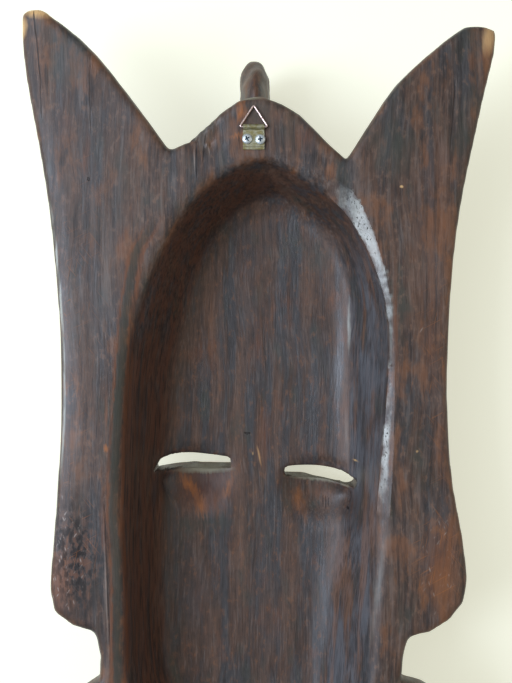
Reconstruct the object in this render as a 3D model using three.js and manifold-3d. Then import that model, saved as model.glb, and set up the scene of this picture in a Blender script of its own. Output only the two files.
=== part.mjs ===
// Carved wall mask, lying face down with its hollowed back up.
// Millimetres. X runs across the mask, +Y towards its horns, +Z out of its back.
import * as THREE from 'three';
import { mergeVertices } from 'three/addons/utils/BufferGeometryUtils.js';
import Module from 'manifold-3d';

const wasm = await Module();
wasm.setup();

// Driving dimensions
const backHeight = 95;            // height of the flat back over the table it lies on
const flangeThickness = 18;       // horns, side flanges and collar
const flangeRounding = 3;         // worn edge of the flanges
const hollowDepth = 53;           // deepest part of the hollow, below the back
const frontHeight = 26;           // height of the face's plane over the table
const slitLedge = 0.22;           // slope of a slit's lower wall, which widens it towards the hollow
const lidFront = 23;              // height of the lids over the table
const lidHalfWidth = 29;
const crestWidth = 20;            // comb and its knob
const browY = 17;                 // heights of the face, along the mask
const noseY = -85;
const mouthY = -132;
const chinY = -184;
const bandY = 132;
const beardY = -231;
const hangerX = -2.7;             // middle of the strap and ring
const eyeY = 196.6;               // the ring's hinge line
const plateWidth = 13;
const plateLength = 13.6;         // from the hinge line to the strap's lower edge
const plateThickness = 1.4;
const sheetThickness = 0.8;       // the strap's sheet, where it is rolled round the wire
const wireRadius = 0.55;
const ringWidth = 17.2;
const ringLength = 13.3;
const ringBend = 1.1;             // length of wire taken by each side of a corner
const ringRestTilt = 3;           // degrees that the ring droops towards the wood
const screwHeadRadius = 3.1;
const screwHeadHeight = 1.5;
const screwShankRadius = 1.3;
const screwLength = 10;
const gap = 0.3;                  // between pieces that touch

// Outline of the board, seen from the back, one list for each smooth stretch.
// Neighbouring stretches share a corner, and the last one ends where the first starts.
const outlineStretches = [
  // left horn: inner edge, worn tip, outer edge down the flange to the lappet's end
  [[-54.5, 183.3], [-74.9, 211], [-92.4, 233.8], [-111.5, 253.7], [-132, 269.3]],
  [[-132, 269.3], [-140.4, 269.9], [-145, 267.8]],
  [[-145, 267.8], [-145, 250], [-141.6, 222.2], [-129.3, 153.9], [-122.4, 84], [-121, 20],
    [-124, -32], [-128, -86], [-124.5, -101], [-112, -108.8], [-100, -112]],
  // left waist and collar, round the bottom to the right waist
  [[-100, -112], [-96.6, -127], [-97, -141]],
  [[-97, -141], [-112, -152], [-121, -170], [-119, -194], [-105, -224], [-77, -249],
    [-40, -264], [0, -269], [40, -264], [76, -249], [104, -224], [118, -194],
    [120, -168], [109, -149], [88, -141.5]],
  [[88, -141.5], [88.6, -129], [91.9, -115.3]],
  // right lappet, flange and horn, back to the crown
  [[91.9, -115.3], [108.5, -110.9], [121, -101], [128, -86], [125.5, -55], [118.8, -15.7],
    [116, 35], [118, 93.5], [124, 146.6], [137, 210.2], [145.5, 247], [145.6, 256.5]],
  [[145.6, 256.5], [137, 259.2], [127, 259]],
  [[127, 259], [108, 245], [83.8, 222.4], [67, 197], [54.2, 177.5]],
  // crown: a low ogee arch between the horns
  [[54.2, 177.5], [42, 188.5], [27, 204], [12, 213], [-1, 217], [-14, 213],
    [-28, 202], [-42, 189], [-54.5, 183.3]],
];

// The hollow, at its mouth in the back and at its floor, from the top clockwise.
// The last number is the width of the worn bevel outside the mouth.
const mouthStops = [
  [3, 177.5, 2], [31, 163.5, 7], [53, 146, 13], [67.5, 121.5, 9], [78.5, 88, 4], [80, 55, 4],
  [77.2, 11, 6], [73, -35, 8], [69.5, -92, 9], [66, -145, 8], [53, -192, 5], [0, -216, 3],
  [-58, -194, 3], [-79, -150, 2], [-81.6, -92, 2], [-83, -40, 2], [-82.2, 15, 2],
  [-79.3, 58, 2], [-70, 95, 2], [-58, 123, 2], [-42, 150, 2], [-20, 168.5, 2],
];
const floorStops = [
  [12, 161], [31, 152.5], [48, 137.5], [59, 116], [63, 93], [62, 60],
  [62.8, 8], [61.5, -36], [52, -88], [44.5, -145], [36, -178], [-6, -196],
  [-44, -178], [-60, -148], [-63.4, -92], [-63, -40], [-59.5, 14],
  [-55, 55], [-46.5, 90], [-36.5, 121], [-24, 141], [-8, 155],
];
const hollowMiddle = new THREE.Vector2(2, -10);
const hollowSides = 56;
const bevelSlope = 0.4;           // fall of the worn bevel for each millimetre of its width
const headSides = 44;
const sideWood = 12;              // wood around the hollow, and above it under the crown
const topWood = 26;
const flangeFront = backHeight - flangeThickness;

// Depth of the hollow against the share of the way out: 1 is the floor's edge, 2 the mouth
const hollowProfile = [
  [0, 1], [0.5, 0.985], [0.8, 0.955], [0.95, 0.9], [1.1, 0.8], [1.3, 0.64], [1.65, 0.34], [2, 0.04],
];
// Height of the front between the face's plane (0) and the flange (1), in the same way
const frontProfile = [
  [0, 0], [0.13, 0], [0.26, 0], [0.39, 0.01], [0.51, 0.025], [0.63, 0.05], [0.75, 0.08], [0.86, 0.13],
  [0.96, 0.19], [1.06, 0.27], [1.25, 0.43], [1.55, 0.66], [1.85, 0.88], [2.05, 1.05],
];
// Swellings of the face and the hollows of its sockets: [x, y, half-width, half-length, rise]
const swellings = [
  [1, 84, 54, 62, 13],
  [-44, -60, 25, 36, 9],
  [44, -62, 25, 36, 9],
  [0, mouthY + 2, 36, 28, 8],
  [0, chinY, 34, 24, 10],
  [-44, -10, 30, 17, -6],
  [43, -18, 30, 17, -6],
];

const wood = { color: 0x3a2720, roughness: 0.42, metalness: 0 };
const zincYellow = { color: 0x8f8a66, roughness: 0.4, metalness: 0.9 };
const nickel = { color: 0xb9b0a8, roughness: 0.25, metalness: 1 };
const zincBlue = { color: 0x9aa3ad, roughness: 0.3, metalness: 1 };

// Moves every vertex of a geometry to where the function puts it.
function reshape(geometry, place) {
  const position = geometry.attributes.position;
  const point = new THREE.Vector3();
  for (let i = 0; i < position.count; i += 1) {
    place(point.fromBufferAttribute(position, i));
    position.setXYZ(i, point.x, point.y, point.z);
  }
  return geometry;
}

// Turns a closed geometry into a solid: shared vertices merged, no empty faces, faces out.
function solid(geometry) {
  const bare = geometry.index ? geometry.toNonIndexed() : geometry.clone();
  bare.deleteAttribute('normal');
  bare.deleteAttribute('uv');
  const merged = mergeVertices(bare, 1e-4);
  const at = merged.attributes.position.array;
  const index = merged.index.array;
  const corner = (i) => new THREE.Vector3().fromArray(at, 3 * i);
  const faces = [];
  let volume = 0;
  for (let i = 0; i < index.length; i += 3) {
    const [a, b, c] = [index[i], index[i + 1], index[i + 2]];
    if (a !== b && b !== c && c !== a) {
      faces.push(a, b, c);
      volume += corner(a).dot(corner(b).cross(corner(c)));
    }
  }
  return new wasm.Manifold(new wasm.Mesh({
    numProp: 3,
    vertProperties: new Float32Array(at),
    triVerts: new Uint32Array(volume < 0 ? faces.reverse() : faces),
  }));
}

function named(name, body, finish) {
  const { vertProperties, triVerts } = body.getMesh();
  const geometry = new THREE.BufferGeometry();
  geometry.setAttribute('position', new THREE.BufferAttribute(vertProperties, 3));
  geometry.setIndex(new THREE.BufferAttribute(triVerts, 1));
  geometry.computeVertexNormals();
  const mesh = new THREE.Mesh(geometry, new THREE.MeshStandardMaterial(finish));
  mesh.name = name;
  return mesh;
}

// Smooth closed line through stops, read by the share of the way round.
function closedLine(stops) {
  return new THREE.CatmullRomCurve3(stops.map(([x, y]) => new THREE.Vector3(x, y, 0)), true);
}

const mouthLine = closedLine(mouthStops);
const floorLine = closedLine(floorStops);
const bevelLine = closedLine(mouthStops.map(([, , bevel]) => [bevel, 0]));

// Point of the hollow's plan: out is 0 at its middle, 1 at the floor's edge, 2 at its mouth.
function hollowPlan(around, out) {
  const floor = floorLine.getPoint(around);
  if (out <= 1) {
    return new THREE.Vector2(hollowMiddle.x, hollowMiddle.y).lerp(floor, out);
  }
  const mouth = mouthLine.getPoint(around);
  return new THREE.Vector2(floor.x, floor.y).lerp(mouth, out - 1);
}

// Share of the way round that a lathe's vertex has, clockwise from the top.
const lathePart = (point) => (Math.atan2(point.x, point.z) / (2 * Math.PI) + 1) % 1;

// Height from a profile of [out, share] stops at a vertex of the lathe.
function heightAt(profile, out) {
  const next = Math.max(1, profile.findIndex(([stop]) => out <= stop + 1e-6));
  const [[fromOut, from], [toOut, to]] = [profile[next - 1], profile[next]];
  return from + (to - from) * (out - fromOut) / (toOut - fromOut);
}

// Hollow: a lathe whose rings take the plan of its floor and mouth. Two more rings
// carry the worn bevel out to the back, and a last one closes it above the back.
function makeHollow() {
  const mouth = hollowProfile.at(-1)[0];
  const bevelLevel = hollowProfile.length;
  const rings = [...hollowProfile.map(([out]) => out), mouth + 0.5, mouth + 1, 0];
  const profile = rings.map((out, level) => new THREE.Vector2(out, level));
  return solid(reshape(new THREE.LatheGeometry(profile, hollowSides), (point) => {
    const level = Math.round(point.y);
    const around = lathePart(point);
    const plan = hollowPlan(around, Math.min(rings[level], mouth));
    const bevel = bevelLine.getPoint(around).x;
    if (level < bevelLevel) {
      const depth = hollowDepth * heightAt(hollowProfile, rings[level]);
      point.z = backHeight - Math.max(depth, level === bevelLevel - 1 ? bevel * bevelSlope : 0);
    } else {
      point.z = backHeight + (level === bevelLevel ? 0 : 1);
      const away = plan.clone().sub(hollowMiddle).normalize();
      plan.addScaledVector(away, rings[level] > 0 ? bevel : 0);
    }
    point.set(plan.x, plan.y, point.z);
  }));
}

// How far the swellings lift the face at a point of its plan.
const swell = (plan) => swellings.reduce((sum, [x, y, halfWidth, halfLength, rise]) => (
  sum + rise * Math.exp(-(((plan.x - x) / halfWidth) ** 2) - ((plan.y - y) / halfLength) ** 2)), 0);

// Head: the same plan grown by the wood around the hollow, domed towards the table.
function makeHead() {
  const inFlange = frontProfile.at(-1)[1];
  const rings = [...frontProfile.map(([out]) => out), 0];
  const profile = rings.map((out, level) => new THREE.Vector2(out, level));
  return solid(reshape(new THREE.LatheGeometry(profile, headSides), (point) => {
    const level = Math.round(point.y);
    const around = lathePart(point);
    const out = rings[level];
    const plan = hollowPlan(around, out);
    const away = plan.clone().sub(hollowMiddle).normalize();
    const upward = Math.max(0, Math.cos(2 * Math.PI * around)) ** 6;
    plan.addScaledVector(away, (sideWood + (topWood - sideWood) * upward) * Math.min(1, out));
    const share = level === rings.length - 1 ? inFlange : heightAt(frontProfile, out);
    const height = frontHeight + (flangeFront - frontHeight) * share - swell(plan) * (1 - share);
    point.set(plan.x, plan.y, height);
  }));
}

function makeBoard() {
  const step = 14;                // between the outline's corners, along a smooth stretch
  const corners = outlineStretches.flatMap((stretch) => {
    const line = new THREE.SplineCurve(stretch.map(([x, y]) => new THREE.Vector2(x, y)));
    return line.getSpacedPoints(Math.max(2, Math.round(line.getLength() / step))).slice(0, -1);
  });
  const board = new THREE.ExtrudeGeometry(new THREE.Shape(corners), {
    depth: flangeThickness - 2 * flangeRounding,
    bevelThickness: flangeRounding,
    bevelSize: flangeRounding,
    bevelOffset: -flangeRounding,
    bevelSegments: 2,
  });
  board.translate(0, 0, backHeight - flangeThickness + flangeRounding);
  return solid(board);
}

// Bar with round ends: each stop is [x, y, z, half-width, half-depth].
function bar(stops, around = 12, along = 12) {
  const middle = new THREE.CatmullRomCurve3(stops.map(([x, y, z]) => new THREE.Vector3(x, y, z)));
  const girth = new THREE.CatmullRomCurve3(stops.map(([, , , w, h]) => new THREE.Vector3(w, h, 0)));
  const profile = [];
  for (let i = 0; i <= along; i += 1) {
    const t = (1 - Math.cos(Math.PI * i / along)) / 2;
    profile.push(new THREE.Vector2(i % along === 0 ? 0 : Math.sqrt(1 - (2 * t - 1) ** 6), t));
  }
  const up = new THREE.Vector3(0, 0, 1);
  return solid(reshape(new THREE.LatheGeometry(profile, around), (point) => {
    const t = THREE.MathUtils.clamp(point.y, 0, 1);
    const along3 = middle.getTangent(t);
    const side = Math.abs(along3.z) < 0.98
      ? new THREE.Vector3().crossVectors(along3, up).normalize()
      : new THREE.Vector3(1, 0, 0);
    const front = new THREE.Vector3().crossVectors(side, along3);
    const size = girth.getPoint(t);
    const centre = middle.getPoint(t);
    const [across, down] = [point.x, point.z];
    point.copy(centre).addScaledVector(side, across * size.x).addScaledVector(front, down * size.y);
  }));
}

// Egg-shaped solid with the given half-sizes.
function egg([x, y, z], [rx, ry, rz], turn = 0, around = 18, down = 10) {
  const ball = new THREE.SphereGeometry(1, around, down).scale(rx, ry, rz);
  return solid(ball.rotateZ(turn).translate(x, y, z));
}

// Each eye: its middle, how far its outer end drops for each step outwards, and the upper and
// lower edge of its slit, both from left to right
const eyes = [
  {
    side: -1, x: -42.5, y: -13.6, drop: 0.05,
    upper: [[-67.6, -16.5], [-63.5, -10.8], [-55, -8.3], [-44, -7.7], [-25.5, -9.6], [-18.4, -11]],
    lower: [[-66.5, -19.6], [-56.7, -17.2], [-43, -15.9], [-18, -16.3]],
  },
  {
    side: 1, x: 41, y: -21.6, drop: 0.13,
    upper: [[17.4, -20], [20, -16.8], [32, -16], [45, -17], [56, -19.8], [64.5, -24.8]],
    lower: [[18.5, -22.8], [34, -23.2], [48, -24.4], [63.5, -28]],
  },
];

// Crescent slit right through the wood. Its lower wall slopes, deepest in its middle.
function makeSlit({ x, upper, lower }) {
  const edge = (stops, count) => new THREE.SplineCurve(stops.map(([px, py]) => (
    new THREE.Vector2(px, py)))).getSpacedPoints(count);
  const above = edge(upper, 9);
  const below = edge(lower, 6).reverse();
  const slit = new THREE.ExtrudeGeometry(new THREE.Shape([...above, ...below]), {
    depth: hollowDepth, bevelEnabled: false,
  });
  const isBelow = (point) => below.some((stop) => Math.hypot(stop.x - point.x, stop.y - point.y) < 0.01);
  reshape(slit, (point) => {
    if (isBelow(point)) {
      point.y -= slitLedge * point.z * Math.max(0, 1 - ((point.x - x) / lidHalfWidth) ** 2);
    }
  });
  return solid(slit.translate(0, 0, lidFront - 3));
}

// Comb from the forehead over the crown. Its round end stands past the crown's edge.
const crestHalf = crestWidth / 2;
const crest = bar([
  [1, 96, 26, crestHalf / 2, 4], [0, bandY, 18, crestHalf - 2, 15], [0, 172, 22, crestHalf - 1, 27],
  [-1, 206, 34, crestHalf, 37], [-2, 228, 43, crestHalf, 34], [-2.2, 241, 47, crestHalf, 26],
  [-2.2, 250.5, 49, crestHalf - 1.5, 13],
], 12, 14);

// Mirrors the stops of a bar's right half, whose first stop is the middle.
const mirrored = (stops) => [
  ...stops.slice(1).reverse().map(([x, ...rest]) => [-x, ...rest]), ...stops];

// Rolled beard under the chin, whose middle rests on the table.
const beard = bar(mirrored([
  [0, beardY, 20, 20, 28], [26, beardY + 5, 24, 19, 28], [56, beardY + 26, 42, 16, 22],
  [72, beardY + 65, 58, 11, 14],
]), 12, 18);

const nose = bar([
  [0, browY + 3, 26, 8, 8], [0, -10, 22, 8, 10], [0, -50, 16, 11, 13], [0, noseY + 5, 11.5, 15, 11],
  [0, noseY - 11, 18, 12, 9],
], 10, 9);
const nostrils = [-14, 14].map((x) => egg([x, noseY, 19], [8, 10, 9], 0, 10, 6));

const brows = eyes.map(({ side, y }) => bar([
  [side * 3, y + 20, 21, 6, 6], [side * 24, y + 31, 22, 6, 7], [side * 48, y + 30, 26, 5.5, 8],
  [side * 72, y + 8, 40, 4, 6],
], 8, 10));

const lids = eyes.map(({ side, x, y, drop }) => (
  egg([x, y, lidFront + 10], [lidHalfWidth, 13, 10], -side * drop, 20, 10)));
// Scooped pocket in the hollow's floor, behind and below each eye
const pockets = eyes.map(({ side, x, y, drop }) => egg(
  [x - 2 * side, y - 10, backHeight - hollowDepth + 3], [25, 20, 9], -side * drop, 20, 10));

const lipCorner = [26, mouthY + 1, 28, 3, 4];
const lips = [
  bar(mirrored([[0, mouthY + 5, 19, 5, 8], [13, mouthY + 7, 21, 5, 7], lipCorner]), 8, 10),
  bar(mirrored([[0, mouthY - 8, 20, 6, 8], [12, mouthY - 7, 22, 5.5, 8], lipCorner]), 8, 10),
];

// Band over the forehead, bending back at both sides.
const band = bar(mirrored([0, 0.38, 0.72, 1].map((across) => (
  [across * 75, bandY - 36 * across ** 2, 21 + 32 * across ** 3, 5.5, 6]))), 8, 16);

// Three raised scars on each cheek.
const scars = [-1, 1].flatMap((side) => [-50, -62, -74].map((y) => bar([
  [side * 38, y, 20.5, 2.5, 3.5], [side * 52, y + 2, 23.5, 2.5, 4], [side * 65, y + 5, 33, 2.5, 5],
], 6, 6)));

// Pilot holes for the two screws, and where each screw stands.
const screwPlaces = [
  { name: 'screw_left', x: hangerX - 4, y: 189.2, turn: 0.5 },
  { name: 'screw_right', x: hangerX + 4, y: 188.9, turn: 0.15 },
];
const pilotHole = ({ x, y }) => solid(new THREE.CylinderGeometry(
  screwShankRadius + gap, screwShankRadius + gap, 2 * (screwLength + 1), 10,
).rotateX(Math.PI / 2).translate(x, y, backHeight));

function makeMask() {
  const forms = [makeHead(), crest, beard, ...brows, ...lids, nose, ...nostrils, ...lips, band, ...scars];
  const whole = forms.reduce((body, form) => body.add(form), makeBoard());
  const table = solid(new THREE.BoxGeometry(600, 700, 200).translate(0, 0, -100));
  const cuts = [makeHollow(), ...pockets, ...eyes.map(makeSlit), ...screwPlaces.map(pilotHole), table];
  return cuts.reduce((body, cut) => body.subtract(cut), whole);
}

// Strap: a plate with a rolled eye at its top edge, drawn from the side and pulled across.
const eyeInner = wireRadius + gap;
const eyeOuter = eyeInner + sheetThickness;
const plateBottom = backHeight + gap;
const plateTop = plateBottom + plateThickness;
const eyeZ = plateBottom + eyeOuter;

function makePlate() {
  const side = new THREE.Shape();
  const join = Math.PI + Math.asin((eyeZ - plateTop) / eyeOuter);
  side.moveTo(eyeY - plateLength, plateBottom);
  side.lineTo(eyeY, plateBottom);
  side.absarc(eyeY, eyeZ, eyeOuter, -Math.PI / 2, join, false);
  side.lineTo(eyeY - plateLength, plateTop);
  side.closePath();
  side.holes.push(new THREE.Path().absarc(eyeY, eyeZ, eyeInner, 0, 2 * Math.PI, true));
  const strap = new THREE.ExtrudeGeometry(side, {
    depth: plateWidth, bevelEnabled: false, curveSegments: 14,
  });
  reshape(strap, (point) => point.set(point.z + hangerX - plateWidth / 2, point.x, point.y));
  return screwPlaces.reduce((body, place) => body.subtract(pilotHole(place)), solid(strap));
}

// Three-cornered wire ring, open by a hair inside the strap's eye.
function makeRing() {
  const half = ringWidth / 2;
  const corners = [[half, 0], [0, ringLength], [-half, 0]].map(([x, y]) => new THREE.Vector3(x, y, 0));
  const end = new THREE.Vector3(-gap, 0, 0);
  const path = new THREE.CurvePath();
  let from = new THREE.Vector3(gap, 0, 0);
  corners.forEach((corner, i) => {
    const next = corners[i + 1] || end;
    const before = corner.clone().add(from.clone().sub(corner).setLength(ringBend));
    const after = corner.clone().add(next.clone().sub(corner).setLength(ringBend));
    path.add(new THREE.LineCurve3(from, before));
    path.add(new THREE.QuadraticBezierCurve3(before, corner, after));
    from = after;
  });
  path.add(new THREE.LineCurve3(from, end));
  const section = new THREE.Shape().absarc(0, 0, wireRadius, 0, 2 * Math.PI);
  const wire = new THREE.ExtrudeGeometry(section, {
    extrudePath: path, steps: 40, curveSegments: 4,
  });
  wire.rotateX(THREE.MathUtils.degToRad(-ringRestTilt));
  return solid(wire.translate(hangerX, eyeY, eyeZ));
}

// Cross-head screw, drawn from its point up: pointed shank, low domed head, two crossed slots.
function makeScrew({ x, y, turn }) {
  const headBottom = plateTop + gap - backHeight;
  const headTop = headBottom + screwHeadHeight;
  const slotLength = screwHeadRadius * 1.1;
  const slotDepth = 1;
  const profile = [
    [0, -screwLength], [screwShankRadius, 2 * screwShankRadius - screwLength],
    [screwShankRadius, headBottom], [screwHeadRadius, headBottom],
    [screwHeadRadius, headBottom + screwHeadHeight / 3],
    [screwHeadRadius * 0.75, headTop - screwHeadHeight / 5], [0, headTop],
  ].map(([r, z]) => new THREE.Vector2(r, z));
  const blank = solid(new THREE.LatheGeometry(profile, 14).rotateX(Math.PI / 2));
  const cuts = [turn, turn + Math.PI / 2].map((angle) => {
    const slot = new THREE.BoxGeometry(slotLength, slotLength / 4, 2 * slotDepth);
    return solid(slot.rotateZ(angle).translate(0, 0, headTop));
  });
  return cuts.reduce((screw, cut) => screw.subtract(cut), blank).translate([x, y, backHeight]);
}

const mask = new THREE.Group();
mask.add(named('mask', makeMask(), wood));
mask.add(named('hanger_plate', makePlate(), zincYellow));
mask.add(named('hanger_ring', makeRing(), nickel));
screwPlaces.forEach((place) => mask.add(named(place.name, makeScrew(place), zincBlue)));

export default mask;
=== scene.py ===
import bpy
import bmesh
import math
import numpy as np
from functools import partial
from mathutils import Matrix, Vector, noise
from mathutils.bvhtree import BVHTree
from mathutils.kdtree import KDTree


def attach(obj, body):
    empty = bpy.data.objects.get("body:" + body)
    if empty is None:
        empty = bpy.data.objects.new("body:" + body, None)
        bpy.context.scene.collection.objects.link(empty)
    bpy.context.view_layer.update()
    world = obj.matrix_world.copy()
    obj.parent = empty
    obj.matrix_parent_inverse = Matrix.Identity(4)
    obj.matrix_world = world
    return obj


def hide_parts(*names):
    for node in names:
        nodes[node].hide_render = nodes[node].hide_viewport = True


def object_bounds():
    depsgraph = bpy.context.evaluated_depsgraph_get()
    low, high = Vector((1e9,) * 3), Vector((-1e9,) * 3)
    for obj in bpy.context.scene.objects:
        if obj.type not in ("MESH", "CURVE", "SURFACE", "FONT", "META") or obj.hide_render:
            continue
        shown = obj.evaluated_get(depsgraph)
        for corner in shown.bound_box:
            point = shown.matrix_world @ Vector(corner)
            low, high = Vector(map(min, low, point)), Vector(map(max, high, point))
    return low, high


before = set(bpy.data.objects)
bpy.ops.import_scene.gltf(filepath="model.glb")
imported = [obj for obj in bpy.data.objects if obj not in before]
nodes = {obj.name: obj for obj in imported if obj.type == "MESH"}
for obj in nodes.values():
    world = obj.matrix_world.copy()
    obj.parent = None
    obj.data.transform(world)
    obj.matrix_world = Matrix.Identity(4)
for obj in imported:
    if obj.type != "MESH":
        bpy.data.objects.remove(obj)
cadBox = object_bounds()
mm = 0.001
print("frame loaded")


# sRGB hex to the linear colour that shaders want
def fromHex(text):
    channels = [int(text[i:i + 2], 16) / 255 for i in (1, 3, 5)]
    return [c / 12.92 if c <= 0.04045 else ((c + 0.055) / 1.055) ** 2.4 for c in channels] + [1.0]


# Adds one shader node with its settings and links, and hands back the wanted output.
# Inputs are given by name, or as a list in the order of the sockets in use.
def addNode(tree, kind, inputs, output=None, **settings):
    node = tree.nodes.new("ShaderNode" + kind)
    for name, value in settings.items():
        setattr(node, name, value)
    if isinstance(inputs, dict):
        pairs = [(node.inputs[name], value) for name, value in inputs.items()]
    else:
        pairs = zip([socket for socket in node.inputs if socket.enabled], inputs)
    for socket, value in pairs:
        if isinstance(value, bpy.types.NodeSocket):
            tree.links.new(value, socket)
        else:
            socket.default_value = value
    usable = [socket for socket in node.outputs if socket.enabled]
    return node.outputs[output] if output else (usable[0] if usable else None)


# how far a value is from another
def gapTo(add, value, other):
    return add("Math", [add("Math", [value, other], operation="SUBTRACT")], operation="ABSOLUTE")


def newMaterial(name):
    material = bpy.data.materials.new(name)
    material.use_nodes = True
    material.node_tree.nodes.clear()
    return material, partial(addNode, material.node_tree)


# where on the piece a point lies, in mm
def placeInMm(add):
    return add("VectorMath", [add("TexCoord", [], "Object"), (1 / mm,) * 3], operation="MULTIPLY")


def addObject(name, data):
    piece = bpy.data.objects.new(name, data)
    bpy.context.scene.collection.objects.link(piece)
    return piece


def newPiece(name, mesh, material, body, slot, *replaced):
    piece = addObject(name, mesh)
    mesh.materials.clear()
    mesh.materials.append(material)
    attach(piece, body)
    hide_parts(*replaced)
    return piece


# what is left of a mesh when the cutter's shape is taken out of it
def cutAway(mesh, cutter):
    blank = addObject("blank", mesh)
    tool = addObject("tool", cutter)
    cut = blank.modifiers.new("cut", "BOOLEAN")
    cut.object = tool
    cut.operation = "DIFFERENCE"
    cut.solver = "EXACT"
    evaluated = blank.evaluated_get(bpy.context.evaluated_depsgraph_get())
    result = bpy.data.meshes.new_from_object(evaluated)
    for piece in (blank, tool):
        bpy.data.objects.remove(piece)
    return result


def meshFrom(work, name):
    mesh = bpy.data.meshes.new(name)
    work.to_mesh(mesh)
    work.free()
    return mesh


# Mesh of rings of points, each joined to the next; the first and last are closed
def skinRings(name, rings):
    work = bmesh.new()
    rows = [[work.verts.new([c * mm for c in point]) for point in ring] for ring in rings]
    for row, following in zip(rows, rows[1:]):
        for i in range(len(row)):
            j = (i + 1) % len(row)
            work.faces.new((row[i], row[j], following[j], following[i]))
    work.faces.new(rows[0][::-1])
    work.faces.new(rows[-1])
    bmesh.ops.recalc_face_normals(work, faces=work.faces)
    for face in work.faces:
        face.smooth = len(face.verts) == 4
    return meshFrom(work, name)


def shadeSmooth(mesh, sharpFrom):
    mesh.polygons.foreach_set("use_smooth", [True] * len(mesh.polygons))
    mesh.set_sharp_from_angle(angle=math.radians(sharpFrom))


# 0 at low, 1 at high, eased between them
def ramp(value, low, high):
    t = np.clip((value - low) / (high - low), 0, 1)
    return t * t * (3 - 2 * t)


# The photograph looks straight at the mask's back, so the camera looks straight down on it.
shot = {
    "across": -1.3 * mm,    # where the picture's centre falls, on the mask's back
    "along": 66 * mm,
    "backHeight": 95 * mm,  # the flat back, over the table
    "distance": 600 * mm,   # from the lens to the flat back
    "pixel": 0.61 * mm,     # what one pixel covers there
    "pixelsHigh": 683,
}
camera = addObject("camera", bpy.data.cameras.new("camera"))
camera.location = (shot["across"], shot["along"], shot["backHeight"] + shot["distance"])
camera.data.sensor_width = 36
camera.data.lens = 36 * shot["distance"] / (shot["pixel"] * shot["pixelsHigh"])
camera.data.clip_start = 0.01
camera.data.clip_end = 20
bpy.context.scene.camera = camera
print("camera placed")


# Dense tropical hardwood, stained nearly black, waxed by hand and worn by years of handling.
# The eye gets long streaks of brown, rust and grey along the grain, a broken satin shine,
# and pale wood where the stain has gone from tips and edges.
wood = {
    "stain": "#30241f",
    "heart": "#604839",
    "slate": "#464749",
    "rust": "#764729",
    "soot": "#211c1b",
    "ash": "#7d7670",
    "bare": "#ddb57c",
    "worn": "#8d5d38",
    "amber": "#a9672f",
    # dust; pale enough to be also a painted light on the ledges under the slits
    "dust": "#8b8872",
    "moss": "#3b3e36",
    # painted shade of the hollow's left wall and of the scoop under the left slit
    "recess": "#63402f",
    "cool": "#676b70",       # the hollow's right wall, dulled by dust, with a painted bluish sheen where it faces the light
    "rubbed": "#8b8f8a",     # the worn bevel: paler where rubbed, and a painted sheen
    "gloss": "#b9bdb4",      # a painted highlight, where the bevel shines most; also along the left outline and the hollow's right fold
    "scuffed": "#a1968c",
    "bandSize": (10, 120, 10),  # mm across, along and into the wood
    "patchSize": (15, 36, 15),
    "seamSize": (3.4, 50, 3.4),
    "fibreSize": (1.2, 22, 1.2),
    "poreSize": (0.55, 7, 0.55),  # real pores are 0.2 mm, drawn wider so that they show
    "cloudSize": (30, 55, 30),
    "mottleSize": (3.2, 6, 3.2),
    "pitSize": (1.3, 2.2, 1.3),
    "nickSize": (2.4, 8.5, 2.4),  # room round each nick of the tool or of later knocks
    "scratchSize": (0.7, 24, 0.7),
    "nickLeans": (34, -16),  # degrees off the grain
    "scratchLeans": (62, -38, 12),
    "sway": (16, 0, 16),     # how far the grain wanders sideways,
    "swayLength": (70, 130, 70),  # and over what length
    "raggedSize": (1.6, 9, 1.6),  # a painted highlight near the left outline: how far in from it,
    "edgeHighlightIn": 2.4,          # the shining facet: how far in from the left outline,
    "edgeHighlightAlong": 66,        # and its middle along the mask
    "roughness": 0.46,
    "polished": 0.3,         # on the rubbed bevel
}

# Washes of colour over the wood, first to last: region, the streaks that break the wash up, the
# streaks' values where it has its least and its most, those two shares, and the paint.
washes = [
    ("all", "band", 0.5, 0.38, 0, 0.75, "slate"),
    ("all", "patch", 0.57, 0.72, 0, 0.5, "rust"),
    ("all", "patch", 0.44, 0.3, 0, 0.75, "moss"),
    ("all", "seam", 0.6, 0.74, 0, 0.3, "rust"),
    ("all", "seam", 0.44, 0.33, 0, 0.45, "soot"),
    ("all", "cloud", 0.52, 0.66, 0, 0.4, "slate"),
    ("all", "mottle", 0.56, 0.7, 0, 0.35, "worn"),
    ("all", "mottle", 0.45, 0.32, 0, 0.35, "soot"),
    ("all", "fibre", 0.54, 0.68, 0, 0.25, "ash"),
    ("all", "pore", 0.58, 0.7, 0, 0.4, "soot"),
    ("flatBack", "seam", 0.54, 0.66, 0, 0.3, "ash"),  # handled and knocked more
    ("flatBack", "mottle", 0.52, 0.66, 0, 0.15, "ash"),
    ("flatBack", "patch", 0.53, 0.62, 0, 0.35, "worn"),
    ("flatBack", "seam", 0.46, 0.36, 0, 0.4, "soot"),
    ("flatBack", "cloud", 0.46, 0.34, 0, 0.5, "moss"),
    ("recess", "seam", 0.42, 0.58, 0.15, 0.85, "recess"),  # steep left wall: a painted shade, reddish with dark streaks, where it faces away from the light
    ("recess", "fibre", 0.5, 0.38, 0, 0.6, "soot"),
    ("cool", "patch", 0.42, 0.58, 0.15, 0.75, "cool"),  # steep right wall: dust and a painted bluish sheen
    ("cool", "band", 0.5, 0.6, 0, 0.35, "worn"),
    ("cool", "fibre", 0.5, 0.38, 0, 0.5, "soot"),
    ("crease", "fibre", 0, 1, 0.75, 0.75, "soot"),  # painted shade: an even dark wash in the hollow's fold
    ("ridge", "cloud", 0.42, 0.6, 0, 0.75, "worn"),  # edges
]
# and those that lie on the worn bevel: paler where rubbed, a painted sheen and painted highlights
bevelWashes = [("mottle", 0.40, 0.58, 0.35, 0.9, "rubbed"), ("patch", 0.42, 0.58, 0.1, 0.6, "gloss")]
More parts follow.
